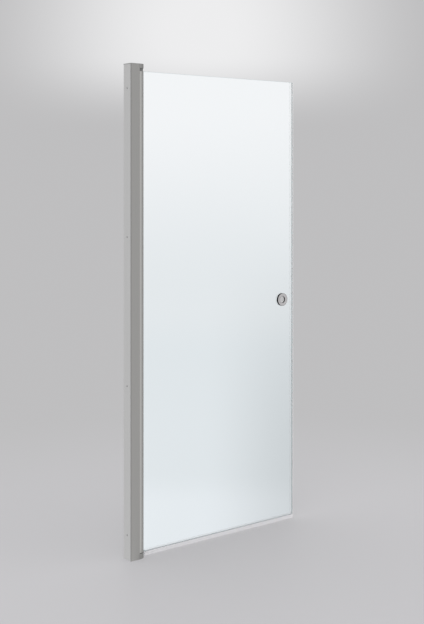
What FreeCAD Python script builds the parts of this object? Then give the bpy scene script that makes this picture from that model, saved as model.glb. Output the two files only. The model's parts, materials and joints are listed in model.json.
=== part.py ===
import FreeCAD, Part
import math
import os

# Pivot shower door for a niche: a post on the left wall, a round pivot profile
# that turns and rises on a helical cam, a clear glass pane, seals and a ring handle.
# Millimetres. X runs from the wall face to the right along the closed door,
# Y into the shower with 0 in the middle of the glass, Z up from the floor.

V = FreeCAD.Vector
UP = V(0, 0, 1)
INWARD = V(0, 1, 0)

# Overall sizes
total_height = 2000.0
niche_width = 905.0

# Clearances
running_clearance = 0.05
slide_gap = 0.1
seat_gap = 0.3
end_gap = 1.0

# Wall channel
channel_web = 2.0
channel_flange = 2.0
channel_length = 26.0
wall_hole_r = 2.75
wall_hole_margin = 100.0
wall_hole_count = 4

# Hinge post
post_wall_gap = 1.5
post_front_x = 44.0
post_lip = 3.7
post_wall = 2.0
post_edge_r = 1.2
socket_clearance = 0.8
cap_thickness = 3.0
cap_spigot_depth = 12.0
cap_spigot_wall = 3.0

# Fixing screws of the post, on the shower side
fixing_screw_x = 14.0
fixing_shank_r = 1.9
fixing_head_r = 4.0
fixing_head_height = 2.4
fixing_screw_margin = 150.0
fixing_screw_count = 3
fixing_screw_reach = 8.0
screw_cap_wall = 1.2

# Lip seals of the post
lip_seal_angle = 132.0
lip_seal_sweep = 5.0
lip_seal_groove = 1.0

# Pivot profile
axis_setback = 9.0
barrel_r = 22.5
barrel_wall = 2.0
barrel_bottom = 22.6
top_gap = 12.0
pocket_depth = 13.0
pocket_rib = 2.0
gasket_thickness = 1.4
gasket_lip = 1.1

# Bearing blocks
block_height = 18.0
bottom_gap = 1.0
block_nose_inset = 1.0
block_edge_r = 1.2
block_screw_y = 8.0
block_screw_r = 2.0
block_screw_length = 14.0
block_screw_head_r = 3.5
block_screw_head_height = 2.5
peg_r = 2.5
peg_length = 7.0
peg_offset = 14.0

# Rising cam
open_deg = 95.0
cam_pitch = 32.0
cam_lobes = 2
cam_ramp_share = 0.78
cam_steps = 9
cam_base_height = 8.4
turning_cam_length = 73.0
pivot_pin_r = 6.0
pivot_pin_foot = 19.0
pivot_pin_reach = 52.0

# Top bearing
collar_length = 37.0
collar_clearance = 0.3
bush_half = 10.0
bush_length = 26.0
top_pin_r = 5.0
top_pin_foot = 20.0
top_pin_shoulder_r = 8.0
plug_length = 29.0

# Screws through the pivot profile
profile_screw_r = 2.0
profile_screw_head_r = 3.6
profile_screw_length = 12.0
profile_screw_sink = 0.2
profile_screw_spacing = 14.0

# Glass
glass_thickness = 6.0
glass_right_gap = 10.0
glass_bottom = 19.0
glass_above_barrel = 2.0
sweep_clearance = 1.0
notch_corner_r = 4.0
setting_block_thickness = 2.3
setting_block_length = 60.0
setting_block_count = 3

# Seals of the glass
seal_wall = 1.4
seal_play = 0.2
side_seal_grip = 16.0
side_seal_wall_gap = 0.5
side_seal_lip_wall = 1.0
side_seal_lip_lean = 2.5
bottom_seal_grip = 8.0
bottom_seal_floor_gap = 0.6
bottom_seal_fin_wall = 1.2
bottom_seal_drip_out = 7.0
bottom_seal_drip_fall = 9.0

# Ring handle
handle_edge_distance = 65.0
handle_height = 994.0
handle_outer_r = 27.6
handle_finger_r = 15.5
handle_projection = 7.8
handle_edge_r = 1.0
face_ring_thickness = 1.5
face_rib_centre_r = 23.0
face_rib_width = 2.0
face_rib_depth = 1.4
grip_inset = 0.3
finger_lip_wall = 1.7
sleeve_wall = 3.0
sleeve_grip = 3.0
washer_thickness = 0.8
washer_inset = 0.6
glass_bush_wall = 2.0

# Places worked out from the sizes
post_top = total_height - cap_thickness
block_bottom_z = total_height - block_height
barrel_top = block_bottom_z - top_gap
lower_block_top = barrel_bottom - bottom_gap
axis_x = post_front_x + axis_setback
bore_r = barrel_r - barrel_wall
insert_r = bore_r - slide_gap
collar_r = bore_r - collar_clearance
socket_r = barrel_r + socket_clearance
chamber_r = socket_r + post_wall
post_half_depth = socket_r + post_lip
post_inner = post_half_depth - post_wall
channel_half = post_inner - seat_gap
nose_centre_x = axis_x + barrel_r - block_nose_inset - post_half_depth
screw_seat_x = axis_x - math.sqrt(chamber_r**2 - (block_screw_y - block_screw_head_r) ** 2) - slide_gap
rise_per_rad = cam_pitch / (2 * math.pi)
door_rise = rise_per_rad * math.radians(open_deg)
turning_cam_top = barrel_bottom + turning_cam_length
rib_bottom = turning_cam_top + end_gap
collar_bottom = block_bottom_z - collar_length
bush_top = block_bottom_z - door_rise - end_gap
bush_bottom = bush_top - bush_length
plug_top = collar_bottom - door_rise - end_gap
plug_bottom = plug_top - plug_length
rib_top = plug_bottom - end_gap
glass_half = glass_thickness / 2
glass_top = barrel_top + glass_above_barrel
glass_right = niche_width - glass_right_gap
pocket_half = glass_half + gasket_thickness + slide_gap
pocket_mouth_x = axis_x + math.sqrt(barrel_r**2 - pocket_half**2)
pocket_back_x = pocket_mouth_x - pocket_depth
glass_left = pocket_back_x + setting_block_thickness + 2 * slide_gap
gasket_edge_x = pocket_mouth_x + gasket_lip
free_edge_x = gasket_edge_x + slide_gap
sweep_x = axis_x + math.hypot(axis_x - nose_centre_x, post_half_depth) + sweep_clearance
seal_half = glass_half + seal_play + seal_wall
seal_nose_x = glass_right + seal_play + seal_wall
seal_base_z = glass_bottom - seal_play - seal_wall
handle_x = glass_right - handle_edge_distance
handle_back = glass_half + washer_thickness
handle_front = glass_half + handle_projection
face_ring_back = handle_front - face_ring_thickness
face_rib_half = face_rib_width / 2
finger_lip_r = handle_finger_r + finger_lip_wall
sleeve_r = handle_finger_r + sleeve_wall
bush_hole_r = sleeve_r + slide_gap
glass_hole_r = bush_hole_r + glass_bush_wall + slide_gap


# Helpers


def box(x0, x1, y0, y1, z0, z1):
    """A box between two corners."""
    return Part.makeBox(x1 - x0, y1 - y0, z1 - z0, V(x0, y0, z0))


def upright(radius, z0, z1, x=axis_x):
    """An upright cylinder, on the pivot axis unless told otherwise."""
    return Part.makeCylinder(radius, z1 - z0, V(x, 0, z0))


def tube(outer, inner, z0, z1):
    """An upright ring on the pivot axis."""
    return upright(outer, z0, z1).cut(upright(inner, z0, z1))


def bar(radius, start, end):
    """A cylinder from one point to another."""
    run = end - start
    return Part.makeCylinder(radius, run.Length, start, run)


def prism(points, run):
    """A closed run of straight edges, pushed along a vector."""
    corners = [V(*p) for p in points]
    return Part.Face(Part.makePolygon(corners + corners[:1])).extrude(run)


def spread(low, high, count):
    """Evenly spaced places from low to high."""
    return [low + (high - low) * i / (count - 1) for i in range(count)]


def upright_edges(shape, x, y):
    """The vertical edges of a shape at one place in plan."""
    found = []
    for edge in shape.Edges:
        ends = [v.Point for v in edge.Vertexes]
        if len(ends) == 2 and all(abs(p.x - x) < 0.01 and abs(p.y - y) < 0.01 for p in ends):
            found.append(edge)
    return found


def far_rim(shape, direction):
    """The edge of a shape whose middle lies furthest in one direction."""
    return max(shape.Edges, key=lambda edge: edge.CenterOfMass.dot(direction))


def joined(first, *others):
    """Several overlapping or touching solids as one clean solid."""
    return first.fuse(list(others)).removeSplitter()


# The fixed side


def wall_hole_heights():
    return spread(wall_hole_margin, total_height - wall_hole_margin, wall_hole_count)


def fixing_heights():
    return spread(fixing_screw_margin, total_height - fixing_screw_margin, fixing_screw_count)


def fixing_hole(z, start, end):
    """Clear hole for one fixing screw between two depths."""
    return bar(fixing_shank_r + slide_gap, V(fixing_screw_x, start, z), V(fixing_screw_x, end, z))


def wall_channel():
    """U channel with its back on the wall and a row of screw holes."""
    inner = channel_half - channel_flange
    shape = box(0, channel_length, -channel_half, channel_half, 0, post_top)
    shape = shape.cut(box(channel_web, channel_length, -inner, inner, 0, post_top))
    for z in wall_hole_heights():
        shape = shape.cut(bar(wall_hole_r, V(0, 0, z), V(channel_web, 0, z)))
    for z in fixing_heights():
        shape = shape.cut(fixing_hole(z, 0, channel_half))
    return shape


def post_outline(x0, z0, z1):
    """The post's outer block with its front edges rounded."""
    shape = box(x0, post_front_x, -post_half_depth, post_half_depth, z0, z1)
    edges = upright_edges(shape, post_front_x, -post_half_depth)
    edges += upright_edges(shape, post_front_x, post_half_depth)
    return shape.makeFillet(post_edge_r, edges)


def hinge_post():
    """Post that slips over the channel, with a round socket for the pivot profile."""
    chamber = box(post_wall_gap, post_front_x - post_wall, -post_inner, post_inner, 0, post_top)
    shape = post_outline(post_wall_gap, 0, post_top)
    shape = shape.cut(chamber.cut(upright(chamber_r, 0, post_top)))
    shape = shape.cut(upright(socket_r, 0, post_top))
    for side in (-1, 1):
        shape = shape.cut(lip_strip(side, barrel_r, socket_r + lip_seal_groove, 0, post_top, slide_gap))
    for z in fixing_heights():
        shape = shape.cut(fixing_hole(z, 0, post_half_depth))
    for y, z in block_screw_places():
        hole = bar(block_screw_r + slide_gap, V(post_wall_gap, y, z), V(post_front_x, y, z))
        shape = shape.cut(hole)
    return shape


def lip_strip(side, inner, outer, z0, z1, extra=0.0):
    """A narrow arc strip on the front or rear of the socket, wider each way by extra."""
    half = math.radians(lip_seal_sweep / 2) + extra / outer
    middle = math.radians(lip_seal_angle)
    reach = 2 * outer
    fan = [(axis_x, 0, z0)]
    for angle in (middle - half, middle + half):
        fan.append((axis_x + reach * math.cos(angle), side * reach * math.sin(angle), z0))
    return tube(outer, inner, z0, z1).common(prism(fan, UP * (z1 - z0)))


def post_seal(side):
    """Lip seal in the groove of the socket, just clear of the pivot profile."""
    low = lower_block_top + seat_gap
    high = block_bottom_z - seat_gap
    return lip_strip(side, barrel_r + seat_gap, socket_r + lip_seal_groove - slide_gap, low, high)


def post_seal_outer():
    return post_seal(-1)


def post_seal_inner():
    return post_seal(1)


def post_fixing_screws():
    """Screws that lock the post to the channel once it is set square."""
    screws = []
    face = post_half_depth
    for z in fixing_heights():
        shank = bar(fixing_shank_r, V(fixing_screw_x, face - fixing_screw_reach, z), V(fixing_screw_x, face, z))
        head = bar(fixing_head_r, V(fixing_screw_x, face, z), V(fixing_screw_x, face + fixing_head_height, z))
        head = head.makeFillet(fixing_head_height / 3, [far_rim(head, INWARD)])
        screws.append(joined(shank, head))
    return Part.makeCompound(screws)


def screw_caps():
    """Round snap caps over the fixing screws."""
    caps = []
    face = post_half_depth
    hollow = face + fixing_head_height + seat_gap
    inner_r = fixing_head_r + seat_gap
    for z in fixing_heights():
        centre = V(fixing_screw_x, face, z)
        cap = bar(inner_r + screw_cap_wall, centre, V(fixing_screw_x, hollow + screw_cap_wall, z))
        cap = cap.makeFillet(screw_cap_wall * 0.8, [far_rim(cap, INWARD)])
        caps.append(cap.cut(bar(inner_r, centre, V(fixing_screw_x, hollow, z))))
    return Part.makeCompound(caps)


def top_cap():
    """Cap over the post and channel, with a spigot down into the channel."""
    plate = post_outline(0, post_top, total_height).cut(upright(socket_r, post_top, total_height))
    side = channel_half - channel_flange - seat_gap
    inner = side - cap_spigot_wall
    low = post_top - cap_spigot_depth
    start = channel_web + seat_gap
    end = post_front_x - post_wall - seat_gap
    spigot = box(start, end, -side, side, low, post_top)
    spigot = spigot.cut(box(start + cap_spigot_wall, end, -inner, inner, low, post_top))
    spigot = spigot.cut(upright(chamber_r + seat_gap, low, post_top))
    return joined(plate, spigot)


# The bearing blocks


def block_screw_places():
    """Where the block screws pass, in Y and Z."""
    heights = (lower_block_top / 2, total_height - block_height / 2)
    return [(y, z) for z in heights for y in (-block_screw_y, block_screw_y)]


def peg_places():
    return (axis_x - peg_offset, axis_x + peg_offset)


def block_shape(z0, z1):
    """Block with its front flush with the post, a round nose, and its back in the socket."""
    nose = joined(
        box(0, nose_centre_x, -post_half_depth, post_half_depth, z0, z1),
        upright(post_half_depth, z0, z1, nose_centre_x),
    )
    behind = box(0, post_front_x + slide_gap, -post_half_depth, post_half_depth, z0, z1)
    return joined(nose.cut(behind), upright(socket_r - slide_gap, z0, z1).common(behind))


def rounded_rim(shape, z):
    """Soften the rim of a block's face at one height."""
    rim = []
    for edge in shape.Edges:
        level = all(abs(v.Point.z - z) < 0.01 for v in edge.Vertexes)
        if level and edge.CenterOfMass.x > nose_centre_x:
            rim.append(edge)
    return shape.makeFillet(block_edge_r, rim)


def block_with_holes(shape, z0, z1, peg_mouth, peg_end):
    """A block with holes for its screws and for the pegs of the bearing on it."""
    end = screw_seat_x + block_screw_length + seat_gap
    for y, z in block_screw_places():
        if z0 < z < z1:
            shape = shape.cut(bar(block_screw_r + slide_gap, V(screw_seat_x, y, z), V(end, y, z)))
    for x in peg_places():
        shape = shape.cut(upright(peg_r + slide_gap, min(peg_mouth, peg_end), max(peg_mouth, peg_end), x))
    return shape


def top_bearing_block():
    """Fixed block over the pivot profile."""
    shape = rounded_rim(block_shape(block_bottom_z, total_height), total_height)
    peg_end = block_bottom_z + peg_length + seat_gap
    return block_with_holes(shape, block_bottom_z, total_height, block_bottom_z, peg_end)


def bottom_bearing_block():
    """Fixed block under the pivot profile, holding the lower pin."""
    shape = rounded_rim(block_shape(0, lower_block_top), lower_block_top)
    peg_end = lower_block_top - peg_length - seat_gap
    shape = block_with_holes(shape, 0, lower_block_top, lower_block_top, peg_end)
    pin_foot = lower_block_top - pivot_pin_foot
    return shape.cut(upright(pivot_pin_r + slide_gap, pin_foot, lower_block_top))


def block_screws(low, high):
    """Screws from inside the post into the bearing block between two heights."""
    screws = []
    for y, z in block_screw_places():
        if low < z < high:
            seat = V(screw_seat_x, y, z)
            shank = bar(block_screw_r, seat, V(screw_seat_x + block_screw_length, y, z))
            head = bar(block_screw_head_r, V(screw_seat_x - block_screw_head_height, y, z), seat)
            screws.append(joined(shank, head))
    return Part.makeCompound(screws)


def top_block_screws():
    return block_screws(block_bottom_z, total_height)


def bottom_block_screws():
    return block_screws(0, lower_block_top)


def pegs(z0, z1):
    """Two locating pegs beside the pivot axis."""
    return [upright(peg_r, z0, z1, x) for x in peg_places()]


# The rising pivot


def cam_half(lobe, lift, base):
    """One lobe of the cam body: radial sections whose tops follow the ramp and the drop."""
    lobe_angle = 2 * math.pi / cam_lobes
    ramp_angle = lobe_angle * cam_ramp_share
    peak = rise_per_rad * ramp_angle
    valley = lower_block_top + cam_base_height + lift
    inner = pivot_pin_r / 2
    outer = barrel_r + 1
    turns = spread(0, ramp_angle, cam_steps) + [lobe_angle]
    sections = []
    for turn in turns:
        height = valley + peak - rise_per_rad * turn
        if turn == lobe_angle:
            height = valley + peak
        angle = lobe * lobe_angle + turn
        across = V(math.cos(angle), math.sin(angle), 0)
        corners = [across * inner + UP * base, across * outer + UP * base]
        corners += [across * outer + UP * height, across * inner + UP * height]
        corners = [corner + V(axis_x, 0, 0) for corner in corners]
        sections.append(Part.makePolygon(corners + corners[:1]))
    return Part.makeLoft(sections, True, True)


def cam_body(lift, base):
    """The whole stepped helical solid between a flat base and the cam surface."""
    halves = [cam_half(lobe, lift, base) for lobe in range(cam_lobes)]
    return halves[0].fuse(halves[1:])


def lower_cam():
    """Fixed cam on the bottom block, round the lower pin."""
    ring = tube(collar_r, pivot_pin_r + slide_gap, lower_block_top, turning_cam_top)
    body = ring.common(cam_body(0, lower_block_top))
    return joined(body, *pegs(lower_block_top - peg_length, lower_block_top + end_gap))


def upper_cam():
    """Turning cam in the foot of the pivot profile, with its ramps face down."""
    ring = tube(insert_r, pivot_pin_r + running_clearance, barrel_bottom, turning_cam_top)
    shape = ring.cut(cam_body(seat_gap, lower_block_top - 1))
    return shape.cut(profile_screw_holes(cam_screw_heights()))


def bottom_pivot_pin():
    """Steel pin in the bottom block that the door turns on."""
    top = lower_block_top + pivot_pin_reach
    pin = upright(pivot_pin_r, lower_block_top - pivot_pin_foot, top)
    return pin.makeChamfer(pivot_pin_r / 6, [far_rim(pin, UP)])


def top_collar():
    """Dark collar under the top block, square inside, with the door's bore round it."""
    collar = upright(collar_r, collar_bottom, block_bottom_z)
    hole = bush_half + slide_gap
    collar = collar.cut(box(axis_x - hole, axis_x + hole, -hole, hole, collar_bottom, block_bottom_z))
    return joined(collar, *pegs(block_bottom_z - end_gap, block_bottom_z + peg_length))


def top_bush():
    """Square bush that rises with the door but cannot turn."""
    bush = box(axis_x - bush_half, axis_x + bush_half, -bush_half, bush_half, bush_bottom, bush_top)
    corners = [edge for x in (-1, 1) for y in (-1, 1)
               for edge in upright_edges(bush, axis_x + x * bush_half, y * bush_half)]
    bush = bush.makeFillet(bush_half / 10, corners)
    return bush.cut(upright(top_pin_r + running_clearance, bush_bottom, bush_top))


def top_pivot_pin():
    """Steel pin of the door, with a shoulder that lifts the bush."""
    pin = upright(top_pin_r, plug_top - top_pin_foot, bush_top)
    pin = pin.makeChamfer(top_pin_r / 6, [far_rim(pin, UP)])
    return joined(pin, upright(top_pin_shoulder_r, plug_top, bush_bottom - seat_gap))


def top_plug():
    """Plug in the head of the pivot profile that holds the top pin."""
    plug = upright(insert_r, plug_bottom, plug_top)
    plug = plug.cut(upright(top_pin_r + slide_gap, plug_top - top_pin_foot, plug_top))
    return plug.cut(profile_screw_holes(plug_screw_heights()))


# The pivot profile


def cam_screw_heights():
    high = turning_cam_top - profile_screw_spacing / 2
    return (high - profile_screw_spacing, high)


def plug_screw_heights():
    middle = (plug_bottom + plug_top) / 2
    return (middle - profile_screw_spacing / 2, middle + profile_screw_spacing / 2)


def profile_screw(z, extra):
    """Countersunk screw through the rear of the profile, or its hole when extra is set."""
    head_y = barrel_r - profile_screw_sink
    head = Part.makeCone(
        profile_screw_r + extra, profile_screw_head_r + extra, head_y - bore_r, V(axis_x, bore_r, z), INWARD
    )
    shank = bar(profile_screw_r + extra, V(axis_x, bore_r - profile_screw_length - extra, z), V(axis_x, bore_r, z))
    return joined(head, shank)


def profile_screw_holes(heights):
    """Countersunk holes with their mouths open through the profile's face."""
    holes = []
    for z in heights:
        mouth = V(axis_x, barrel_r - profile_screw_sink, z)
        hole = profile_screw(z, slide_gap)
        holes.append(joined(hole, bar(profile_screw_head_r + slide_gap, mouth, mouth + INWARD)))
    return Part.makeCompound(holes)


def cam_screws():
    return Part.makeCompound([profile_screw(z, 0) for z in cam_screw_heights()])


def plug_screws():
    return Part.makeCompound([profile_screw(z, 0) for z in plug_screw_heights()])


def pivot_profile():
    """Round profile with a pocket for the glass, bored out at both ends."""
    rib_y = pocket_half + pocket_rib
    right = axis_x + barrel_r + 1
    ribs = box(pocket_back_x - pocket_rib, right, -rib_y, rib_y, barrel_bottom, barrel_top)
    shape = joined(
        tube(barrel_r, bore_r, barrel_bottom, barrel_top),
        ribs.common(upright(barrel_r, barrel_bottom, barrel_top)),
    )
    shape = shape.cut(box(pocket_back_x, right, -pocket_half, pocket_half, barrel_bottom, barrel_top))
    shape = shape.cut(upright(bore_r, barrel_bottom, rib_bottom))
    shape = shape.cut(upright(bore_r, rib_top, barrel_top))
    shape = shape.cut(profile_screw_holes(cam_screw_heights()))
    return shape.cut(profile_screw_holes(plug_screw_heights()))


def gasket(side):
    """Glazing gasket on one side of the glass, closing the slot at the bored ends."""
    face = glass_half + slide_gap / 2
    back = face + gasket_thickness
    lip_x = axis_x + insert_r + 2 * slide_gap

    def strip(x0, y0, z0, z1):
        near, far = sorted((side * y0, side * back))
        return box(x0, gasket_edge_x, near, far, z0, z1)

    return joined(
        strip(lip_x, face, barrel_bottom, barrel_top),
        strip(glass_left + end_gap, face, rib_bottom + seat_gap, rib_top - seat_gap),
        strip(lip_x, slide_gap, barrel_bottom, rib_bottom - notch_corner_r - seat_gap),
        strip(lip_x, slide_gap, rib_top + notch_corner_r + seat_gap, barrel_top),
    )


def glazing_gasket_outer():
    return gasket(-1)


def glazing_gasket_inner():
    return gasket(1)


def setting_blocks():
    """Plastic blocks between the glass edge and the back of the pocket."""
    start = pocket_back_x + slide_gap
    half = glass_half - slide_gap
    margin = setting_block_length
    blocks = []
    for z in spread(rib_bottom + margin, rib_top - margin, setting_block_count):
        low = z - setting_block_length / 2
        blocks.append(box(start, start + setting_block_thickness, -half, half, low, low + setting_block_length))
    return Part.makeCompound(blocks)


# The glass and its seals


def glass_pane():
    """Pane with its hinge edge cut back at the bearings and a hole for the handle."""
    notch_z = barrel_bottom + sweep_clearance
    corners = [
        (sweep_x, glass_bottom),
        (glass_right, glass_bottom),
        (glass_right, glass_top),
        (free_edge_x, glass_top),
        (free_edge_x, rib_top),
        (glass_left, rib_top),
        (glass_left, rib_bottom),
        (free_edge_x, rib_bottom),
        (free_edge_x, notch_z),
        (sweep_x, notch_z),
    ]
    pane = prism([(x, -glass_half, z) for x, z in corners], INWARD * glass_thickness)
    inner_corners = [(free_edge_x, rib_top), (free_edge_x, rib_bottom), (sweep_x, notch_z)]
    edges = [edge for x, z in inner_corners for edge in cross_edges(pane, x, z)]
    pane = pane.makeFillet(notch_corner_r, edges)
    return pane.cut(handle_ring(glass_hole_r, 0, -glass_half, glass_half))


def cross_edges(shape, x, z):
    """The edges of a plate that run through it at one place in elevation."""
    found = []
    for edge in shape.Edges:
        if all(abs(v.Point.x - x) < 0.01 and abs(v.Point.z - z) < 0.01 for v in edge.Vertexes):
            found.append(edge)
    return found


def side_seal():
    """Clip on the free edge of the glass with a lip that reaches for the wall."""
    slot_half = glass_half + seal_play
    grip_x = glass_right - side_seal_grip
    height = glass_top - glass_bottom
    clip = box(grip_x, seal_nose_x, -seal_half, seal_half, glass_bottom, glass_top)
    clip = clip.cut(box(grip_x, glass_right + seal_play, -slot_half, slot_half, glass_bottom, glass_top))
    tip_x = niche_width - side_seal_wall_gap
    half = side_seal_lip_wall / 2
    lip = [
        (seal_nose_x - seal_wall / 2, -half, glass_bottom),
        (tip_x, side_seal_lip_lean - half, glass_bottom),
        (tip_x, side_seal_lip_lean + half, glass_bottom),
        (seal_nose_x - seal_wall / 2, half, glass_bottom),
    ]
    return joined(clip, prism(lip, UP * height))


def bottom_seal():
    """Clip under the glass with two fins to the floor and a drip lip on the shower side."""
    slot_half = glass_half + seal_play
    slot_z = glass_bottom - seal_play
    grip_end = glass_right - side_seal_grip - seat_gap
    run = V(seal_nose_x - sweep_x, 0, 0)
    base = box(sweep_x, seal_nose_x, -seal_half, seal_half, seal_base_z, slot_z)
    pieces = [base]
    for side in (-1, 1):
        near, far = sorted((side * slot_half, side * seal_half))
        pieces.append(box(sweep_x, grip_end, near, far, seal_base_z, glass_bottom + bottom_seal_grip))
        near, far = sorted((side * (seal_half - bottom_seal_fin_wall), side * seal_half))
        pieces.append(box(sweep_x, seal_nose_x, near, far, bottom_seal_floor_gap, slot_z))
    drip_y = seal_half + bottom_seal_drip_out
    drip_z = seal_base_z - bottom_seal_drip_fall
    drip = [
        (sweep_x, slot_half, slot_z),
        (sweep_x, seal_half, slot_z),
        (sweep_x, drip_y, drip_z + bottom_seal_fin_wall),
        (sweep_x, drip_y, drip_z),
        (sweep_x, slot_half, seal_base_z),
    ]
    return joined(*pieces, prism(drip, run))


# The ring handle


def handle_ring(outer, inner, y0, y1):
    """A disc or ring across the glass, round the centre of the handle."""
    start = V(handle_x, y0, handle_height)
    end = V(handle_x, y1, handle_height)
    ring = bar(outer, start, end)
    return ring.cut(bar(inner, start, end)) if inner else ring


def mirrored(shape):
    """The same piece on the other face of the glass."""
    return shape.mirror(V(0, 0, 0), INWARD)


def rounded_ring(y0, y1):
    """A ring of the handle's full size, with rounded edges on the face at y1."""
    ring = handle_ring(handle_outer_r, handle_finger_r, y0, y1)
    rims = [e for e in ring.Edges if all(abs(v.Point.y - y1) < 0.01 for v in e.Vertexes)]
    return ring.makeFillet(handle_edge_r, rims)


def sleeve_groove():
    """Groove round the finger hole that takes one end of the sleeve."""
    return handle_ring(sleeve_r + slide_gap, finger_lip_r, handle_back, handle_back + sleeve_grip + slide_gap)


def face_rib(play):
    """Locating rib behind the face ring, or with play the groove that takes it."""
    outer = face_rib_centre_r + face_rib_half + play
    inner = face_rib_centre_r - face_rib_half - play
    return handle_ring(outer, inner, face_ring_back - face_rib_depth - play, face_ring_back)


def ring_handle_inner():
    """Clear ring on the shower side."""
    return rounded_ring(handle_back, handle_front).cut(sleeve_groove())


def ring_handle_outer():
    """Face ring of the outer handle."""
    return mirrored(joined(rounded_ring(face_ring_back, handle_front), face_rib(0)))


def ring_grip_outer():
    """Dark body of the outer handle, between the face ring and the washer."""
    body = handle_ring(handle_outer_r - grip_inset, handle_finger_r, handle_back, face_ring_back)
    return mirrored(body.cut(sleeve_groove()).cut(face_rib(slide_gap)))


def handle_sleeve():
    """Clear threaded sleeve through the glass that draws the two rings together."""
    lip_end = handle_back - slide_gap
    reach = handle_back + sleeve_grip
    sleeve = handle_ring(sleeve_r, handle_finger_r, -reach, reach)
    for y0, y1 in ((-reach, -lip_end), (lip_end, reach)):
        sleeve = sleeve.cut(handle_ring(finger_lip_r + slide_gap, 0, y0, y1))
    return sleeve


def handle_washer_inner():
    """Clear washer between handle ring and glass."""
    return handle_ring(handle_outer_r - washer_inset, bush_hole_r, glass_half, handle_back)


def handle_washer_outer():
    """Dark washer behind the grip of the outer handle."""
    return mirrored(handle_washer_inner())


def glass_bush():
    """Clear bush between the sleeve and the edge of the hole in the glass."""
    return handle_ring(bush_hole_r + glass_bush_wall, bush_hole_r, -glass_half, glass_half)


PIECES = (
    wall_channel, hinge_post, post_fixing_screws, screw_caps, top_cap,
    post_seal_outer, post_seal_inner,
    top_bearing_block, top_block_screws, top_collar, top_bush,
    bottom_bearing_block, bottom_block_screws, bottom_pivot_pin, lower_cam,
    pivot_profile, upper_cam, cam_screws, top_plug, plug_screws, top_pivot_pin,
    glass_pane, glazing_gasket_outer, glazing_gasket_inner, setting_blocks,
    side_seal, bottom_seal,
    ring_handle_outer, ring_grip_outer, ring_handle_inner, handle_sleeve,
    handle_washer_outer, handle_washer_inner, glass_bush,
)

os.makedirs("parts", exist_ok=True)
for piece in PIECES:
    piece().exportStep(f"parts/{piece.__name__}.step")
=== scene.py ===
import json
import math

import bmesh
import bpy
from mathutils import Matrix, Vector
from mathutils.geometry import delaunay_2d_cdt


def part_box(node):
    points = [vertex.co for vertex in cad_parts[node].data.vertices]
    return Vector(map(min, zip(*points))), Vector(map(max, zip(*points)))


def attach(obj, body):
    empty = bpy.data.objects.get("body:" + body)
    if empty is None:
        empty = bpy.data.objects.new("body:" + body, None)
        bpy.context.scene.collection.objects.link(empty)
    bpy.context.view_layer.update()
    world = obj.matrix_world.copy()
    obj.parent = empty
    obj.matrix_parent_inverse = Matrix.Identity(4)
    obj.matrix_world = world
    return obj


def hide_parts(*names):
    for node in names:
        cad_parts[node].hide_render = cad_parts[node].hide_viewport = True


MM = 0.001

# Camera, as the photograph was taken: level, with the lens shifted down
CAMERA_PLACE = (-2.461, -3.680, 1.526)
CAMERA_TURN = math.radians(-38.2)
PHOTO_HEIGHT = 624
FOCAL_PIXELS = 1096
HORIZON_ROW = 181
SENSOR = 36.0

# Floor: the share of it that glows at its centre, and the distances over which all of it does
FLOOR_RADIUS = 14.0
FLOOR_COLOR = (0.575, 0.569, 0.588)
FLOOR_ROUGHNESS = 0.45
FLOOR_SPECULAR = 0.15
FLOOR_CENTRE = (0.3, -0.5, 0.0)
FLOOR_GLOW = 0.5
FLOOR_FADE = (0.9, 3.2)

# Backdrop as the camera sees it: brighter round one direction, and only above a height
SEEN_LOW = (0.520, 0.517, 0.524)
SEEN_HIGH = (0.850, 0.850, 0.858)
SEEN_TOWARDS = (0.605, 0.785, 0.135)
SEEN_SPREAD = (0.02, 0.22)
SEEN_RISE = (0.045, 0.115)

# Pale room behind the closed door: its colour by the height of a direction, its shade low on the
# right, and how closely a direction must agree with the photograph's to lead into it
ROOM_RAMP = (
    (-0.285, (0.819, 0.856, 0.892)),
    (-0.255, (0.765, 0.805, 0.835)),
    (-0.160, (0.765, 0.805, 0.835)),
    (-0.110, (0.795, 0.825, 0.850)),
    (0.080, (0.930, 0.936, 0.955)),
)
ROOM_TURN = (0.61, 0.68)
ROOM_DROP = (-0.03, -0.25)
ROOM_SHADE = 0.20
ROOM_ON_FLOOR = (0.970, 0.996)
ROOM_ON_WORLD = (0.850, 0.930)

# Light, and what reflections show: from light to dark as they turn towards +X
WORLD_LIGHT = 0.88
REFLECTED_LIGHT = 0.97
REFLECTED_DARK = 0.60
REFLECTED_TURN = (0.45, 1.05)
LAMPS = {"key": ((-2.2, -2.6, 3.4), 36.0), "fill": ((2.8, -2.2, 2.2), 12.0)}
LAMP_TARGET = (0.4, 0, 1.0)
LAMP_SIZE = 2.4

# Arrises of CAD nodes (width, segments), and the angles that tell flat, smooth and sharp apart
ARRISES = {
    "glass_pane": (0.5 * MM, 1),
    "top_cap": (0.4 * MM, 2),
    "top_bearing_block": (0.3 * MM, 2),
    "bottom_bearing_block": (0.3 * MM, 2),
}
WELD_REACH = 0.01 * MM
FLAT_ANGLE = math.radians(0.5)
SHARP_ANGLE = math.radians(32)
ARRIS_ANGLE = math.radians(40)

# Glass: how far the normal's Y makes a polished face, and its Z a level edge; the level edges, top and
# bottom, carry painted light, lighter than the upright ones
GLASS_IOR = 1.5
POLISHED = (0.90, 0.98)
LEVEL_PAINTED_LIGHT_RANGE = (0.3, 0.6)
UPRIGHT_EDGE = (0.0, 0.20, 0.20)
# Painted light: the level edge colour is lighter than the upright one, standing in for light that comes in
# from below
LEVEL_EDGE_PAINTED_LIGHT = (0.62, 0.76, 0.78)
EDGE_TRANSMISSION = 0.08
EDGE_ROUGHNESS = (0.40, 0.55)
DEPTH_COLOR = (0.45, 0.86, 0.83, 1)
DEPTH_DENSITY = 6.0

# Clear plastic, and where the soft milky lips of the seals start and are at their full density
PLASTIC_IOR = 1.47
PLASTIC_SLANT = 0.35
SEAL_COLOR = (0.95, 0.945, 0.96)
SIDE_LIP = ("X", 0.8962, 0.8970)
BOTTOM_LIP = ("Z", 0.0178, 0.0168)
LIP_DENSITY = 0.54

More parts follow.
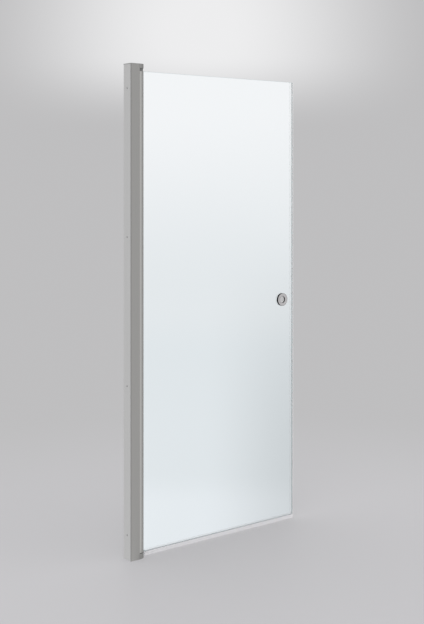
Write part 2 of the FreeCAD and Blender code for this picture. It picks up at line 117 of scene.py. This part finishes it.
# Clips of the seals, in millimetres: half widths, and the widths of a leg from tip to root
LEG_TIP_Y = 3.86
LEG_Y = 3.9
LEG_WIDTHS = (1.15, 1.4)
WEB_Y = 4.6
WEB_THICKNESS = 1.4
SLOT_PLAY = 0.2
BEAD_R = 0.75

# Ring handle, in millimetres
FINGER_R = 15.5
FACE_PLATE = 0.9
FACE_DISH = 0.3
FACE_RIM = 0.6
FACE_PROUD = 0.15
WASHER_PLAY = 0.1
WASHER_SKIRT = 0.7

# Screws of the pivot profile and caps of the post, in millimetres
PIVOT_AXIS = (0.053, 0, 0)
SHANK_R = 1.9
NOTCH_DEPTH = 0.7
NOTCH_PLACE = math.pi * 1.5
NOTCH_HALF_ANGLE = 0.12

# Flat outlines: points closer than this, in millimetres, are one, and only the inside is filled
SAME_POINT = 1e-5
INSIDE_ONLY = 1

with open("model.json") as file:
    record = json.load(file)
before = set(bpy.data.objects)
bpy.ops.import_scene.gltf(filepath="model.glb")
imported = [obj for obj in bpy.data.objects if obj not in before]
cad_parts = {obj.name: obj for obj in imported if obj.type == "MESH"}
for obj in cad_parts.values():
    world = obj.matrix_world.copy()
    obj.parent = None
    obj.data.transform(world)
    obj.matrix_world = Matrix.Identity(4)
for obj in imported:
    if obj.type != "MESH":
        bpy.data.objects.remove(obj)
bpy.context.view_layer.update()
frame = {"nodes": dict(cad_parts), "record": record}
nodes = frame["nodes"]


# Shader helpers


def new_material(name):
    """A node material with its tree and Principled shader."""
    material = bpy.data.materials.new(name)
    material.use_nodes = True
    tree = material.node_tree
    return material, tree, tree.nodes["Principled BSDF"]


def object_coordinates(tree, scale=(1, 1, 1), origin=(0, 0, 0)):
    """Coordinates of the part's frame, in metres from an origin, stretched by a scale."""
    coordinates = tree.nodes.new("ShaderNodeTexCoord")
    mapping = tree.nodes.new("ShaderNodeMapping")
    mapping.inputs["Scale"].default_value = scale
    mapping.inputs["Location"].default_value = [-o * s for o, s in zip(origin, scale)]
    tree.links.new(coordinates.outputs["Object"], mapping.inputs["Vector"])
    return mapping.outputs["Vector"]


def noise(tree, place, scale, detail, dimensions="3D"):
    """Noise over a vector, or in 1D along a value."""
    node = tree.nodes.new("ShaderNodeTexNoise")
    node.noise_dimensions = dimensions
    node.inputs["Scale"].default_value = scale
    node.inputs["Detail"].default_value = detail
    tree.links.new(place, node.inputs["W" if dimensions == "1D" else "Vector"])
    return node.outputs["Fac"]


def ranged(tree, value, low, high, start=0.0, end=1.0, smooth=False):
    """A value spread between two numbers."""
    node = tree.nodes.new("ShaderNodeMapRange")
    node.interpolation_type = "SMOOTHSTEP" if smooth else "LINEAR"
    node.inputs["From Min"].default_value = start
    node.inputs["From Max"].default_value = end
    node.inputs["To Min"].default_value = low
    node.inputs["To Max"].default_value = high
    tree.links.new(value, node.inputs["Value"])
    return node.outputs["Result"]


def calculated(tree, operation, first, second=None):
    """The result of a Math node on one or two values."""
    node = tree.nodes.new("ShaderNodeMath")
    node.operation = operation
    tree.links.new(first, node.inputs[0])
    if second is not None:
        tree.links.new(second, node.inputs[1])
    return node.outputs["Value"]


def measured(tree, operation, vector, other=(0, 0, 0), result="Value"):
    """The result of a Vector Math node on a vector and a fixed one."""
    node = tree.nodes.new("ShaderNodeVectorMath")
    node.operation = operation
    tree.links.new(vector, node.inputs[0])
    node.inputs[1].default_value = other
    return node.outputs[result]


def split(tree, vector):
    """The X, Y and Z of a vector."""
    node = tree.nodes.new("ShaderNodeSeparateXYZ")
    tree.links.new(vector, node.inputs["Vector"])
    return node.outputs


def colored(tree, socket, color):
    """Sets the colour of a socket, or links it to a colour."""
    if isinstance(color, tuple):
        socket.default_value = (*color, 1)
    else:
        tree.links.new(color, socket)


def tinted(tree, value, first, second):
    """A colour between two, by a 0 to 1 value."""
    node = tree.nodes.new("ShaderNodeMix")
    node.data_type = "RGBA"
    colored(tree, node.inputs["A"], first)
    colored(tree, node.inputs["B"], second)
    tree.links.new(value, node.inputs["Factor"])
    return node.outputs["Result"]


def colored_by(tree, shader, pattern, color, spread):
    """Lets a pattern make the shader's colour a little darker and lighter."""
    dark = tuple(c * (1 - spread) for c in color)
    light = tuple(min(1.0, c * (1 + spread)) for c in color)
    tree.links.new(tinted(tree, pattern, dark, light), shader.inputs["Base Color"])


def roughened_by(tree, shader, pattern, roughness, spread):
    """Lets a pattern make the shader a little smoother and rougher."""
    rough = ranged(tree, pattern, roughness - spread, roughness + spread)
    tree.links.new(rough, shader.inputs["Roughness"])


def bumped_by(tree, shader, pattern, strength, distance):
    """Drives the shader's normal with a pattern as a small height."""
    node = tree.nodes.new("ShaderNodeBump")
    node.inputs["Strength"].default_value = strength
    node.inputs["Distance"].default_value = distance
    tree.links.new(pattern, node.inputs["Height"])
    tree.links.new(node.outputs["Normal"], shader.inputs["Normal"])


# Materials


def drawn_metal(name, color, roughness, grain):
    """Anodised metal with fine lines; grain stretches them along one axis."""
    material, tree, shader = new_material(name)
    shader.inputs["Metallic"].default_value = 1.0
    lines = noise(tree, object_coordinates(tree, grain), scale=1.0, detail=4.0)
    cloud = noise(tree, object_coordinates(tree), scale=2.5, detail=2.0)
    colored_by(tree, shader, lines, color, spread=0.05)
    roughened_by(tree, shader, cloud, roughness, spread=0.03)
    bumped_by(tree, shader, lines, strength=0.15, distance=0.00003)
    return material


def blasted_metal(name, color, roughness):
    """Bead-blasted and anodised metal with an even fine grain."""
    material, tree, shader = new_material(name)
    shader.inputs["Metallic"].default_value = 1.0
    grain = noise(tree, object_coordinates(tree), scale=2600.0, detail=2.0)
    colored_by(tree, shader, grain, color, spread=0.07)
    roughened_by(tree, shader, grain, roughness, spread=0.04)
    bumped_by(tree, shader, grain, strength=0.35, distance=0.00004)
    return material


def turned_metal(name, color, roughness, centre):
    """Metal with fine rings round an axis along Y, as a lathe leaves them."""
    material, tree, shader = new_material(name)
    shader.inputs["Metallic"].default_value = 1.0
    radius = measured(tree, "LENGTH", object_coordinates(tree, (1, 0, 1), centre))
    rings = noise(tree, radius, scale=5200.0, detail=3.0, dimensions="1D")
    colored_by(tree, shader, rings, color, spread=0.06)
    roughened_by(tree, shader, rings, roughness, spread=0.05)
    bumped_by(tree, shader, rings, strength=0.25, distance=0.00003)
    return material


def moulded(name, color, roughness):
    """Moulded plastic with a fine textured skin."""
    material, tree, shader = new_material(name)
    shader.inputs["Specular IOR Level"].default_value = 0.3
    skin = noise(tree, object_coordinates(tree), scale=1400.0, detail=2.0)
    cloud = noise(tree, object_coordinates(tree), scale=30.0, detail=2.0)
    colored_by(tree, shader, cloud, color, spread=0.10)
    roughened_by(tree, shader, skin, roughness, spread=0.06)
    bumped_by(tree, shader, skin, strength=0.25, distance=0.00005)
    return material


def clear_glass():
    """Clear float glass: polished faces, and ground edges that look green; the top and bottom edges are
    painted lighter than the upright ones, a painted light from below.
    """
    material, tree, shader = new_material("glass")
    shader.inputs["IOR"].default_value = GLASS_IOR
    geometry = tree.nodes.new("ShaderNodeNewGeometry")
    turned = tree.nodes.new("ShaderNodeVectorTransform")
    turned.vector_type = "NORMAL"
    turned.convert_from = "WORLD"
    turned.convert_to = "OBJECT"
    tree.links.new(geometry.outputs["True Normal"], turned.inputs["Vector"])
    normal = split(tree, turned.outputs["Vector"])
    edge = ranged(tree, calculated(tree, "ABSOLUTE", normal["Y"]), 1.0, 0.0, *POLISHED)
    # Painted light: top and bottom edges get the lighter colour, standing in for light that comes in from
    # below
    level = ranged(tree, calculated(tree, "ABSOLUTE", normal["Z"]), 0.0, 1.0, *LEVEL_PAINTED_LIGHT_RANGE)
    ground = tinted(tree, level, UPRIGHT_EDGE, LEVEL_EDGE_PAINTED_LIGHT)
    tree.links.new(tinted(tree, edge, (1, 1, 1), ground), shader.inputs["Base Color"])
    grind = noise(tree, object_coordinates(tree), scale=500.0, detail=2.0)
    rough = calculated(tree, "MULTIPLY", edge, ranged(tree, grind, *EDGE_ROUGHNESS))
    tree.links.new(rough, shader.inputs["Roughness"])
    tree.links.new(ranged(tree, edge, 1.0, EDGE_TRANSMISSION), shader.inputs["Transmission Weight"])
    depth = tree.nodes.new("ShaderNodeVolumeAbsorption")
    depth.inputs["Color"].default_value = DEPTH_COLOR
    depth.inputs["Density"].default_value = DEPTH_DENSITY
    tree.links.new(depth.outputs["Volume"], tree.nodes["Material Output"].inputs["Volume"])
    return material


def clear_plastic(name, color, roughness, flow_scale, face, edge, lip=None):
    """Clear plastic, denser where it is seen along its surface; a lip is milky past its start."""
    material, tree, shader = new_material(name)
    shader.inputs["IOR"].default_value = PLASTIC_IOR
    flow = noise(tree, object_coordinates(tree, (1, 1, 0.2)), flow_scale, detail=2.0)
    colored_by(tree, shader, flow, color, spread=0.03)
    roughened_by(tree, shader, flow, roughness, spread=0.05)
    bumped_by(tree, shader, flow, strength=0.10, distance=0.0001)
    slant = tree.nodes.new("ShaderNodeLayerWeight")
    slant.inputs["Blend"].default_value = PLASTIC_SLANT
    alpha = ranged(tree, slant.outputs["Facing"], face, edge)
    if lip:
        axis, start, end = lip
        place = split(tree, object_coordinates(tree))[axis]
        alpha = calculated(tree, "MAXIMUM", alpha, ranged(tree, place, 0.0, LIP_DENSITY, start, end))
    tree.links.new(alpha, shader.inputs["Alpha"])
    return material


handle_centre = [(a + b) / 2 for a, b in zip(*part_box("ring_handle_outer"))]
materials = {
    "satin_aluminium": drawn_metal("satin_aluminium", (0.345, 0.341, 0.334), 0.34, (1100, 1100, 3)),
    "mill_aluminium": drawn_metal("mill_aluminium", (0.50, 0.50, 0.50), 0.42, (600, 600, 3)),
    "block_metal": blasted_metal("block_metal", (0.335, 0.332, 0.326), 0.40),
    "steel": turned_metal("steel", (0.50, 0.50, 0.51), 0.26, PIVOT_AXIS),
    "handle_chrome": turned_metal("handle_chrome", (0.560, 0.548, 0.557), 0.24, handle_centre),
    "dark_nylon": moulded("dark_nylon", (0.012, 0.012, 0.013), 0.58),
    "grey_plastic": moulded("grey_plastic", (0.29, 0.29, 0.285), 0.45),
    "glass": clear_glass(),
    "clear_seal": clear_plastic("clear_seal", SEAL_COLOR, 0.30, 80.0, 0.05, 0.20),
    "clear_plastic": clear_plastic("clear_plastic", (0.95, 0.96, 0.965), 0.14, 160.0, 0.03, 0.16),
}
own_finish = {
    "side_seal": clear_plastic("side_seal", SEAL_COLOR, 0.30, 80.0, 0.04, 0.10, SIDE_LIP),
    "bottom_seal": clear_plastic("bottom_seal", SEAL_COLOR, 0.30, 80.0, 0.05, 0.20, BOTTOM_LIP),
    "pivot_profile": drawn_metal("barrel_aluminium", (0.435, 0.430, 0.420), 0.24, (1300, 1300, 3)),
    "top_collar": moulded("collar_plastic", (0.190, 0.190, 0.188), 0.40),
}


def finish_of(node, slot):
    """A node's own material, or else its slot's."""
    return own_finish.get(node, materials[slot])


# Mesh helpers


def filleted(corners, steps=5):
    """Closed outline whose corners (u, v, radius) are rounded where they have a radius."""
    outline = []
    for i, (u, v, *rest) in enumerate(corners):
        corner = Vector((u, v))
        if not rest:
            outline.append(corner)
            continue
        radius = rest[0]
        before = (Vector(corners[i - 1][:2]) - corner).normalized()
        after = (Vector(corners[(i + 1) % len(corners)][:2]) - corner).normalized()
        half = before.angle(after) / 2
        centre = corner + (before + after).normalized() * (radius / math.sin(half))
        start = corner + before * (radius / math.tan(half)) - centre
        end = corner + after * (radius / math.tan(half)) - centre
        arc = [start, *(start.slerp(end, k / steps) for k in range(1, steps)), end]
        outline += [centre + arm for arm in arc]
    return outline


def smooth_path(points, steps=6):
    """Points along a smooth curve through the given ones."""
    ends = [points[0], *points, points[-1]]
    path = []
    for a, b, c, d in zip(ends, ends[1:], ends[2:], ends[3:]):
        a, b, c, d = (Vector(p) for p in (a, b, c, d))
        for k in range(steps):
            t = k / steps
            square = 2 * b + (c - a) * t + (2 * a - 5 * b + 4 * c - d) * t**2
            path.append(0.5 * (square + (3 * b - a - 3 * c + d) * t**3))
    return path + [Vector(points[-1])]


def stroke(points, start_width, end_width):
    """Closed outline of a smooth lip whose width tapers and whose ends are round."""
    path = smooth_path(points)
    left, right = [], []
    for i, point in enumerate(path):
        along = (path[min(i + 1, len(path) - 1)] - path[max(i - 1, 0)]).normalized()
        across = Vector((-along.y, along.x))
        half = (start_width + (end_width - start_width) * i / (len(path) - 1)) / 2
        left.append(point + across * half)
        right.append(point - across * half)
    return left + round_end(left[-1], right[-1]) + right[::-1] + round_end(right[0], left[0])


def round_end(start, end, steps=6):
    """Points of a half circle that turns from one side of a lip to the other."""
    centre = (start + end) / 2
    arm = start - centre
    points = []
    for k in range(1, steps):
        c, s = math.cos(math.pi * k / steps), math.sin(math.pi * k / steps)
        points.append(centre + Vector((arm.x * c + arm.y * s, arm.y * c - arm.x * s)))
    return points


def round_angles(count):
    """Evenly spaced angles of a full turn."""
    return [2 * math.pi * k / count for k in range(count)]


def extruded(outlines, place, start, end):
    """The union of flat outlines, pushed from start to end; place puts (u, v, w) in the frame."""
    points, faces = [], []
    for outline in outlines:
        faces.append(list(range(len(points), len(points) + len(outline))))
        points += [Vector(p) for p in outline]
    flat, _, triangles, _, _, owners = delaunay_2d_cdt(points, [], faces, INSIDE_ONLY, SAME_POINT)
    mesh = bmesh.new()
    low = [mesh.verts.new(place(p.x, p.y, start)) for p in flat]
    high = [mesh.verts.new(place(p.x, p.y, end)) for p in flat]
    rim = set()
    for triangle, owner in zip(triangles, owners):
        if not owner:
            continue
        mesh.faces.new([low[i] for i in reversed(triangle)])
        mesh.faces.new([high[i] for i in triangle])
        for a, b in zip(triangle, triangle[1:] + triangle[:1]):
            if (b, a) in rim:
                rim.remove((b, a))
            else:
                rim.add((a, b))
    for a, b in sorted(rim):
        mesh.faces.new((low[a], low[b], high[b], high[a]))
    loose = [v for v in mesh.verts if not v.link_faces]
    bmesh.ops.delete(mesh, geom=loose, context="VERTS")
    bmesh.ops.dissolve_limit(mesh, angle_limit=FLAT_ANGLE, verts=mesh.verts, edges=mesh.edges)
    return mesh


def lathed(profile, place, segments, closed=True):
    """Points (radius, along) turned round an axis; a radius may be a function of the angle."""
    mesh = bmesh.new()
    angles = round_angles(segments)
    loops = []
    for radius, along in profile:
        reach = radius if callable(radius) else lambda angle, radius=radius: radius
        ring = [(reach(t) * math.cos(t), reach(t) * math.sin(t)) for t in angles]
        loops.append([mesh.verts.new(place(u, v, along)) for u, v in ring])
    pairs = list(zip(loops, loops[1:]))
    if closed:
        pairs.append((loops[-1], loops[0]))
    else:
        mesh.faces.new(loops[0])
        mesh.faces.new(loops[-1])
    for near, far in pairs:
        for k in range(segments):
            after = (k + 1) % segments
            mesh.faces.new((near[k], near[after], far[after], far[k]))
    return mesh


def merged(meshes):
    """Several bmeshes as one."""
    whole = bmesh.new()
    for mesh in meshes:
        part = bpy.data.meshes.new("part")
        mesh.to_mesh(part)
        mesh.free()
        whole.from_mesh(part)
        bpy.data.meshes.remove(part)
    return whole


def added(name, data):
    """A new object in the scene."""
    made = bpy.data.objects.new(name, data)
    bpy.context.scene.collection.objects.link(made)
    return made


def piece(name, mesh, body, slot, node):
    """Makes a finished piece that rides on a body and stands for a CAD node."""
    bmesh.ops.recalc_face_normals(mesh, faces=mesh.faces)
    for face in mesh.faces:
        face.smooth = True
    for edge in mesh.edges:
        edge.smooth = len(edge.link_faces) == 2 and edge.calc_face_angle(0) < SHARP_ANGLE
    data = bpy.data.meshes.new(name)
    mesh.to_mesh(data)
    mesh.free()
    data.materials.append(finish_of(node, slot))
    made = added(name, data)
    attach(made, body)
    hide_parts(node)


# Dressing of the CAD nodes


def dress_cad_nodes():
    """Gives every CAD node its finish, and breaks the sharp edges that show."""
    slots = {part["node"]: part["material_slot"] for part in frame["record"]["subparts"]}
    for name, node in nodes.items():
        node.data.materials.clear()
        node.data.materials.append(finish_of(name, slots[name]))
    for name, (width, segments) in ARRISES.items():
        weld = nodes[name].modifiers.new("weld", "WELD")
        weld.merge_threshold = WELD_REACH
        flat = nodes[name].modifiers.new("flat", "DECIMATE")
        flat.decimate_type = "DISSOLVE"
        flat.angle_limit = FLAT_ANGLE
        bevel = nodes[name].modifiers.new("arris", "BEVEL")
        bevel.width = width
        bevel.segments = segments
        bevel.limit_method = "ANGLE"
        bevel.angle_limit = ARRIS_ANGLE
        normals = nodes[name].modifiers.new("normals", "WEIGHTED_NORMAL")
        normals.keep_sharp = False


# Pieces; outlines and profiles are in millimetres


def on_both_sides(points, widths):
    """A stroke on each side of the glass; the points give (half width, height)."""
    return [stroke([(y * side, along) for y, along in points], *widths) for side in (-1, 1)]


def side_seal():
    """Clip on the free edge of the glass with a soft curved fin that closes against the wall."""
    low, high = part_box("side_seal")
    legs = [
        stroke([(879.8, LEG_TIP_Y * side), (886.0, LEG_Y * side), (895.4, LEG_Y * side)], *LEG_WIDTHS)
        for side in (-1, 1)
    ]
    web = filleted([(895.3, -WEB_Y), (896.6, -WEB_Y, 0.8), (896.6, WEB_Y, 0.8), (895.3, WEB_Y)])
    fin = stroke([(896.2, -2.6), (898.6, -2.5), (901.0, -1.6), (902.8, 0.1), (903.7, 2.0)], 1.3, 0.7)
    bead = [(903.65 + BEAD_R * math.cos(t), 2.15 + BEAD_R * math.sin(t)) for t in round_angles(16)]
    mesh = extruded(legs + [web, fin, bead], lambda u, v, w: (u * MM, v * MM, w), low[2], high[2])
    piece("side_seal_strip", mesh, "door", "clear_seal", "side_seal")


def bottom_seal():
    """Clip under the glass with two fins to the floor and a curved drip lip."""
    low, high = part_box("bottom_seal")
    top = high[2] / MM
    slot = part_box("glass_pane")[0][2] / MM - SLOT_PLAY
    base = slot - WEB_THICKNESS
    legs = on_both_sides([(LEG_TIP_Y, top - 0.6), (LEG_Y, slot + 4), (LEG_Y, base + 0.8)], LEG_WIDTHS)
    web = filleted([(-WEB_Y, slot), (-WEB_Y, base, 0.6), (WEB_Y, base), (WEB_Y, slot)])
    fins = on_both_sides([(4.0, base + 0.5), (4.1, base / 2 + 1), (3.75, 1.1)], (1.2, 0.9))
    drip = stroke([(4.2, base + 0.6), (6.6, base - 1.0), (9.2, base - 4.0), (11.1, base - 8.2)], 1.5, 0.8)
    outlines = legs + [web] + fins + [drip]
    mesh = extruded(outlines, lambda u, v, w: (w, u * MM, v * MM), low[0], high[0])
    piece("bottom_seal_strip", mesh, "door", "clear_seal", "bottom_seal")


def round_box(node):
    """Middle in X, middle in Z and half the width in X of a CAD node, in millimetres."""
    low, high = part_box(node)
    return (low[0] + high[0]) / 2 / MM, (low[2] + high[2]) / 2 / MM, (high[0] - low[0]) / 2 / MM


def on_axis(x, z, side=1):
    """Places a turned shape on an axis along Y, on one side of the glass."""
    return lambda u, v, w: ((x + u) * MM, side * w * MM, (z + v) * MM)


def ring_handle():
    """Satin face plate let into its dark grip outside, and the clear ring inside."""
    x, z, radius = round_box("ring_handle_outer")
    outside, inside = on_axis(x, z, -1), on_axis(x, z)
    front = -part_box("ring_handle_outer")[0][1] / MM
    back = -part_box("ring_grip_outer")[1][1] / MM
    washer = round_box("handle_washer_outer")[2] + WASHER_PLAY
    foot = back - WASHER_SKIRT
    seat = front - FACE_PLATE
    plate = radius - FACE_RIM
    brim = front - FACE_PROUD
    face = lathed(filleted([
        (FINGER_R, seat), (FINGER_R, front - FACE_DISH, 0.25), (plate, front, 0.3), (plate, seat),
    ]), outside, segments=128)
    piece("handle_face_plate", face, "door", "handle_chrome", "ring_handle_outer")
    grip = lathed(filleted([
        (FINGER_R, back, 0.2), (FINGER_R, seat), (plate, seat), (plate, brim), (radius, brim, 0.35),
        (radius, foot, 0.2), (washer, foot), (washer, back),
    ]), outside, segments=128)
    piece("handle_grip_ring", grip, "door", "dark_nylon", "ring_grip_outer")
    inner = lathed(filleted([
        (FINGER_R, back), (FINGER_R, front, 1.2), (radius, front, 1.6), (radius, back, 0.3),
    ]), inside, segments=128)
    piece("handle_inner_ring", inner, "door", "clear_plastic", "ring_handle_inner")


def hexagon(across):
    """Radius of a hexagon at an angle."""
    return lambda t: across / 2 / math.cos((t + math.pi / 6) % (math.pi / 3) - math.pi / 6)


def profile_screws():
    """Countersunk socket screws in the back of the pivot profile."""
    for node in ("cam_screws", "plug_screws"):
        low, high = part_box(node)
        x, _, head = round_box(node)
        face = high[1] / MM
        profile = [
            # point and shank
            (0.7, face - 12.0), (SHANK_R, face - 10.8), (SHANK_R, face - head + 1.6),
            # head with a broken rim
            (head, face - 0.35), (head - 0.12, face - 0.12), (head - 0.45, face),
            # socket
            (1.75, face), (hexagon(2.9), face - 0.15), (hexagon(2.8), face - 1.7), (hexagon(0.6), face - 2.2),
        ]
        heights = (low[2] / MM + head, high[2] / MM - head)
        screws = [lathed(profile, on_axis(x, z), segments=48, closed=False) for z in heights]
        piece(node + "_socket", merged(screws), "door", "steel", node)


def screw_covers():
    """Domed snap caps on the post, each with a small notch to lift it."""
    low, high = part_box("screw_caps")
    x, middle, radius = round_box("screw_caps")
    base, top = low[1] / MM, high[1] / MM

    def notched(t):
        return radius - (NOTCH_DEPTH if abs(t - NOTCH_PLACE) < NOTCH_HALF_ANGLE else 0)

    profile = [
        # rim
        (notched, base), (notched, base + 0.7), (radius, base + 0.75), (radius, top - 1.5),
        # dome
        (radius - 0.15, top - 1.0), (radius - 0.5, top - 0.6), (radius - 1.1, top - 0.32),
        (radius - 2.2, top - 0.14), (radius - 3.6, top - 0.04), (0.6, top),
    ]
    heights = (low[2] / MM + radius, middle, high[2] / MM - radius)
    caps = [lathed(profile, on_axis(x, z), segments=64, closed=False) for z in heights]
    piece("screw_cap_covers", merged(caps), "frame", "grey_plastic", "screw_caps")


# Stage, light and camera


def ray_kind(tree, name):
    """Whether the ray is of one kind."""
    return tree.nodes.new("ShaderNodeLightPath").outputs[name]


def glow(tree, color, strength=1.0, kind="ShaderNodeEmission"):
    """A shader that shows a plain colour."""
    node = tree.nodes.new(kind)
    node.inputs["Strength"].default_value = strength
    colored(tree, node.inputs["Color"], color)
    return node.outputs[0]


def mixed(tree, factor, first, second):
    """Two shaders mixed by a factor."""
    node = tree.nodes.new("ShaderNodeMixShader")
    tree.links.new(factor, node.inputs["Fac"])
    tree.links.new(first, node.inputs[1])
    tree.links.new(second, node.inputs[2])
    return node.outputs["Shader"]


def bearing(tree, x, y):
    """Level direction from a place to a place on the floor."""
    away = object_coordinates(tree, origin=(x, y, 0))
    return measured(tree, "NORMALIZE", away, result="Vector")


def sideways(tree, direction):
    """How far a direction, made level, points towards +X, from -1 to 1."""
    level = measured(tree, "MULTIPLY", direction, (1, 1, 0), "Vector")
    return split(tree, measured(tree, "NORMALIZE", level, result="Vector"))["X"]


def behind_door(tree, direction, low, high):
    """1 where a direction leads to the pale room behind the closed door, and 0 elsewhere."""
    photo_direction = (-math.sin(CAMERA_TURN), math.cos(CAMERA_TURN), 0)
    agreement = measured(tree, "DOT_PRODUCT", direction, photo_direction)
    return ranged(tree, agreement, 0.0, 1.0, low, high, smooth=True)


def reflection(tree, turn):
    """Brightness that reflections show, by how far they point towards +X."""
    return ranged(tree, turn, REFLECTED_LIGHT, REFLECTED_DARK, *REFLECTED_TURN, smooth=True)


def pale_floor():
    """Round floor that melts into the backdrop, and opens to the room seen through the door."""
    ring = bmesh.new()
    bmesh.ops.create_circle(ring, cap_ends=True, radius=FLOOR_RADIUS, segments=96)
    mesh = bpy.data.meshes.new("floor")
    ring.to_mesh(mesh)
    ring.free()
    floor = added("floor", mesh)
    material, tree, shader = new_material("floor")
    shader.inputs["Base Color"].default_value = (*FLOOR_COLOR, 1)
    shader.inputs["Roughness"].default_value = FLOOR_ROUGHNESS
    shader.inputs["Specular IOR Level"].default_value = FLOOR_SPECULAR
    away = measured(tree, "DISTANCE", object_coordinates(tree), FLOOR_CENTRE)
    fade = ranged(tree, away, FLOOR_GLOW, 1.0, *FLOOR_FADE, smooth=True)
    near = tinted(tree, fade, FLOOR_COLOR, SEEN_LOW)
    surface = mixed(tree, fade, shader.outputs["BSDF"], glow(tree, near))
    reflected = glow(tree, reflection(tree, sideways(tree, bearing(tree, 0, 0))))
    open_floor = tree.nodes.new("ShaderNodeBsdfTransparent").outputs["BSDF"]
    opening = behind_door(tree, bearing(tree, *CAMERA_PLACE[:2]), *ROOM_ON_FLOOR)
    through = mixed(tree, opening, surface, open_floor)
    surface = mixed(tree, ray_kind(tree, "Is Glossy Ray"), surface, reflected)
    surface = mixed(tree, ray_kind(tree, "Is Transmission Ray"), surface, through)
    tree.links.new(surface, tree.nodes["Material Output"].inputs["Surface"])
    mesh.materials.append(material)


def pale_room(tree, direction, height):
    """Colour of the room that shows through the closed door: by height, darker low on the right."""
    low, high = ROOM_RAMP[0][0], ROOM_RAMP[-1][0]
    ramp = tree.nodes.new("ShaderNodeValToRGB")
    ramp.color_ramp.interpolation = "EASE"
    stops = ramp.color_ramp.elements
    while len(stops) < len(ROOM_RAMP):
        stops.new(1.0)
    for stop, (place, color) in zip(stops, ROOM_RAMP):
        stop.position = (place - low) / (high - low)
        stop.color = (*color, 1)
    tree.links.new(ranged(tree, height, 0.0, 1.0, low, high), ramp.inputs["Fac"])
    side = ranged(tree, sideways(tree, direction), 0.0, ROOM_SHADE, *ROOM_TURN, smooth=True)
    drop = ranged(tree, height, 0.0, 1.0, *ROOM_DROP, smooth=True)
    return tinted(tree, calculated(tree, "MULTIPLY", side, drop), ramp.outputs["Color"], (0, 0, 0))


def studio_world():
    """Even white light, which the camera sees as a pale backdrop, and the glass as the pale room."""
    world = bpy.data.worlds.new("studio")
    bpy.context.scene.world = world
    world.use_nodes = True
    tree = world.node_tree

    def background(color, strength=1.0):
        return glow(tree, color, strength, "ShaderNodeBackground")

    direction = tree.nodes.new("ShaderNodeTexCoord").outputs["Generated"]
    along = split(tree, direction)
    apart = measured(tree, "DISTANCE", direction, SEEN_TOWARDS)
    near = ranged(tree, apart, 1.0, 0.0, *SEEN_SPREAD, smooth=True)
    above = ranged(tree, along["Z"], 0.0, 1.0, *SEEN_RISE, smooth=True)
    lit = calculated(tree, "MULTIPLY", near, above)
    seen = background(tinted(tree, lit, SEEN_LOW, SEEN_HIGH))
    room = background(pale_room(tree, direction, along["Z"]))
    through = mixed(tree, behind_door(tree, direction, *ROOM_ON_WORLD), seen, room)
    light = background((1, 1, 1), WORLD_LIGHT)
    reflected = background(reflection(tree, along["X"]))
    light = mixed(tree, ray_kind(tree, "Is Glossy Ray"), light, reflected)
    light = mixed(tree, ray_kind(tree, "Is Transmission Ray"), light, through)
    light = mixed(tree, ray_kind(tree, "Is Camera Ray"), light, seen)
    tree.links.new(light, tree.nodes["World Output"].inputs["Surface"])


def area_lamp(name, place, power):
    """Soft square lamp that points at the door."""
    data = bpy.data.lights.new(name, "AREA")
    data.size = LAMP_SIZE
    data.energy = power
    lamp = added(name, data)
    lamp.location = place
    lamp.rotation_euler = (Vector(LAMP_TARGET) - Vector(place)).to_track_quat("-Z", "Y").to_euler()
    lamp.visible_glossy = False
    lamp.visible_transmission = False


def photo_camera():
    """The camera at the photograph's place, angle and framing."""
    data = bpy.data.cameras.new("camera")
    data.sensor_width = SENSOR
    data.lens = FOCAL_PIXELS / PHOTO_HEIGHT * SENSOR
    data.shift_y = (HORIZON_ROW - PHOTO_HEIGHT / 2) / PHOTO_HEIGHT
    camera = added("camera", data)
    camera.location = CAMERA_PLACE
    camera.rotation_euler = (math.radians(90), 0, CAMERA_TURN)
    bpy.context.scene.camera = camera


photo_camera()
dress_cad_nodes()
side_seal()
bottom_seal()
ring_handle()
profile_screws()
screw_covers()
pale_floor()
studio_world()
for lamp_name, (lamp_place, lamp_power) in LAMPS.items():
    area_lamp(lamp_name, lamp_place, lamp_power)
bpy.context.scene.view_settings.view_transform = "Standard"
